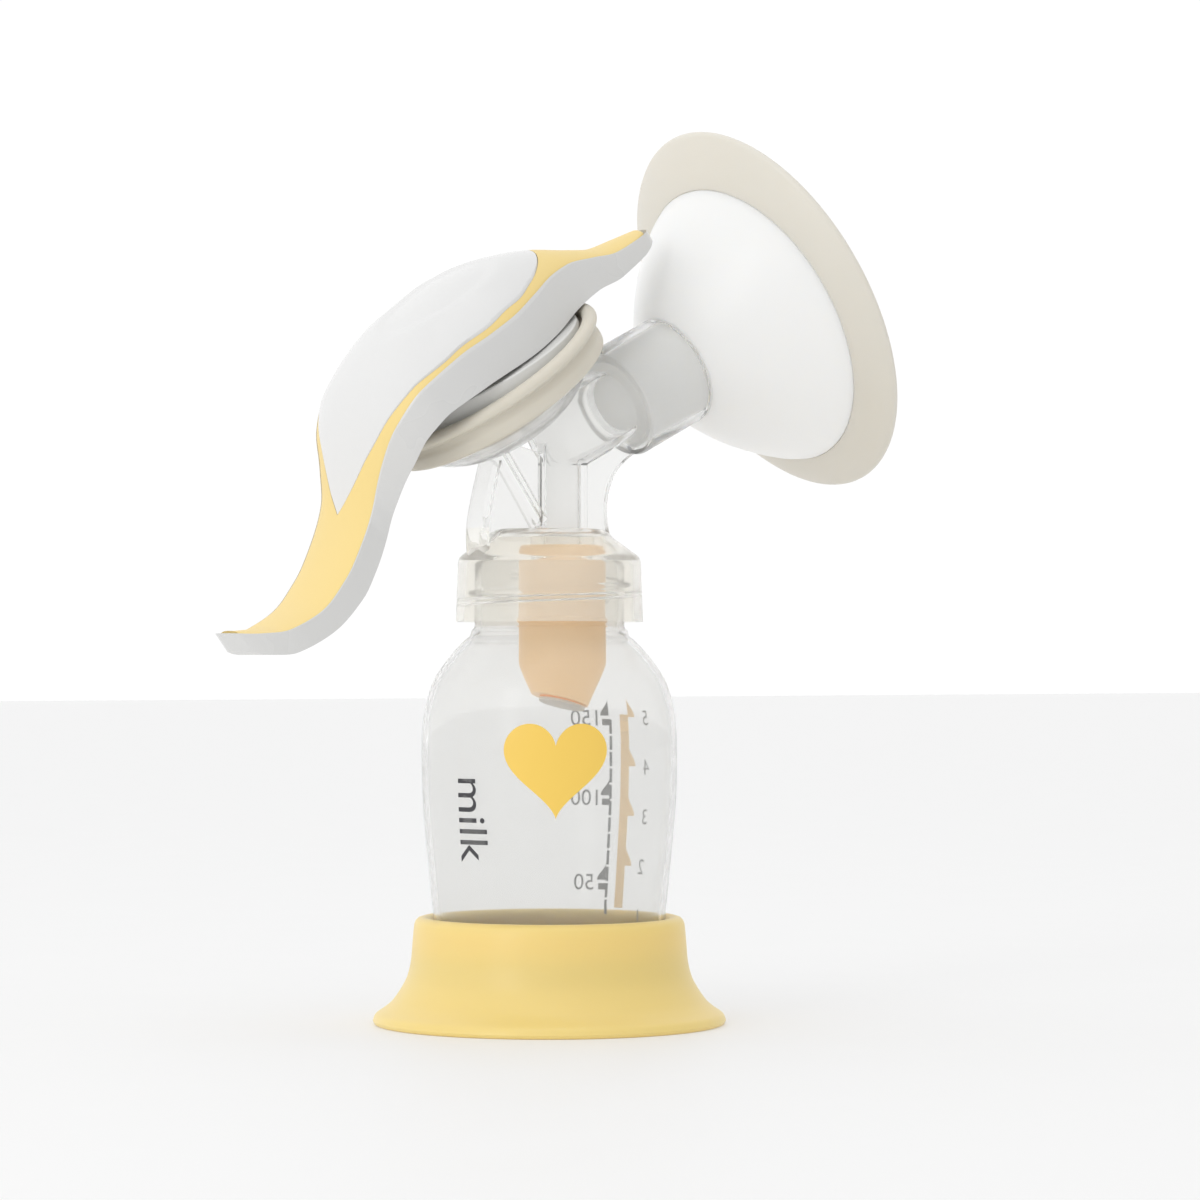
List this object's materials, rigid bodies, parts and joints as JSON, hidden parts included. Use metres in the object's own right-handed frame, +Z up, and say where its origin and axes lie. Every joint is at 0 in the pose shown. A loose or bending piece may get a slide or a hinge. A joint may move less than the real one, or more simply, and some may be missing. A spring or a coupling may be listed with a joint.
{
  "type": "breast pump",
  "caption": "Hand-lever breast pump on a flared stand: bottle, screw-on connector, rocking handle on a tilted diaphragm, and an angled push-in breast shield.",
  "frame": {"origin": "under the centre of the stand, on the surface it stands on, on the bottle's axis", "axes": "+Z up along the bottle's axis, +X towards the breast shield; the piece is symmetrical about the XZ plane but for its thread and the shield rim's small roll"},
  "size_m": [0.1699, 0.0862, 0.2094],
  "materials": {
    "yellow_plastic": "satin, opaque",
    "yellow_soft_grip": "fine matte soft-touch",
    "white_plastic": "satin",
    "hub_plastic": "satin",
    "clear_plastic": "clear, slightly milky",
    "milky_plastic": "milky, translucent",
    "ivory_silicone": "matte silicone, slightly translucent"
  },
  "bodies": {
    "stand": {"bottle_stand": "yellow_plastic"},
    "bottle": {"bottle": "clear_plastic"},
    "connector": {"connector_body": "clear_plastic", "diaphragm_rim": "ivory_silicone", "valve_head": "yellow_plastic"},
    "membrane": {"diaphragm_membrane": "ivory_silicone"},
    "stem": {"diaphragm_stem": "white_plastic", "stem_o_ring": "ivory_silicone"},
    "handle": {"handle_shell": "white_plastic", "handle_soft_grip": "yellow_soft_grip", "handle_top_panel": "white_plastic", "handle_hub": "hub_plastic"},
    "shield": {"shield_cone": "milky_plastic", "shield_soft_rim": "ivory_silicone"},
    "valve_flap": {"valve_membrane": "ivory_silicone"}
  },
  "joints": [
    {"name": "bottle_turn", "type": "hinge", "parent": "stand", "child": "bottle", "pos_m": [0, 0, 0.05], "axis": [0, 0, -1], "range_deg": [0, 720]},
    {"name": "connector_rise", "type": "slide", "parent": "stand", "child": "connector", "axis": [0, 0, 1], "range_m": [0, 0.0085]},
    {"name": "stem_lift", "type": "slide", "parent": "connector", "child": "membrane", "axis": [-0.6018, 0, 0.7986], "range_m": [0, 0.0074], "deforming": ["diaphragm_membrane"]},
    {"name": "handle_swivel", "type": "hinge", "parent": "membrane", "child": "stem", "pos_m": [-0.0136, 0, 0.1439], "axis": [-0.6018, 0, 0.7986], "range_deg": [-120, 120]},
    {"name": "handle_squeeze", "type": "hinge", "parent": "stem", "child": "handle", "pos_m": [-0.02353, 0, 0.15708], "axis": [0, -1, 0], "range_deg": [0, 18], "stiffness_Nm_per_rad": 3, "springref_deg": -2.86},
    {"name": "shield_pull", "type": "slide", "parent": "connector", "child": "shield", "axis": [0.8886, 0, 0.4587], "range_m": [0, 0.0175]},
    {"name": "valve_flap_open", "type": "hinge", "parent": "connector", "child": "valve_flap", "pos_m": [-0.00187, 0, 0.07613], "axis": [0, 1, 0], "range_deg": [0, 12], "stiffness_Nm_per_rad": 0.0005, "springref_deg": -5.73}
  ],
  "couplings": [
    {"joint": "connector_rise", "follows": "bottle_turn", "m_per_rad": 0.00066845},
    {"joint": "stem_lift", "follows": "handle_squeeze", "m_per_rad": 0.0232}
  ]
}
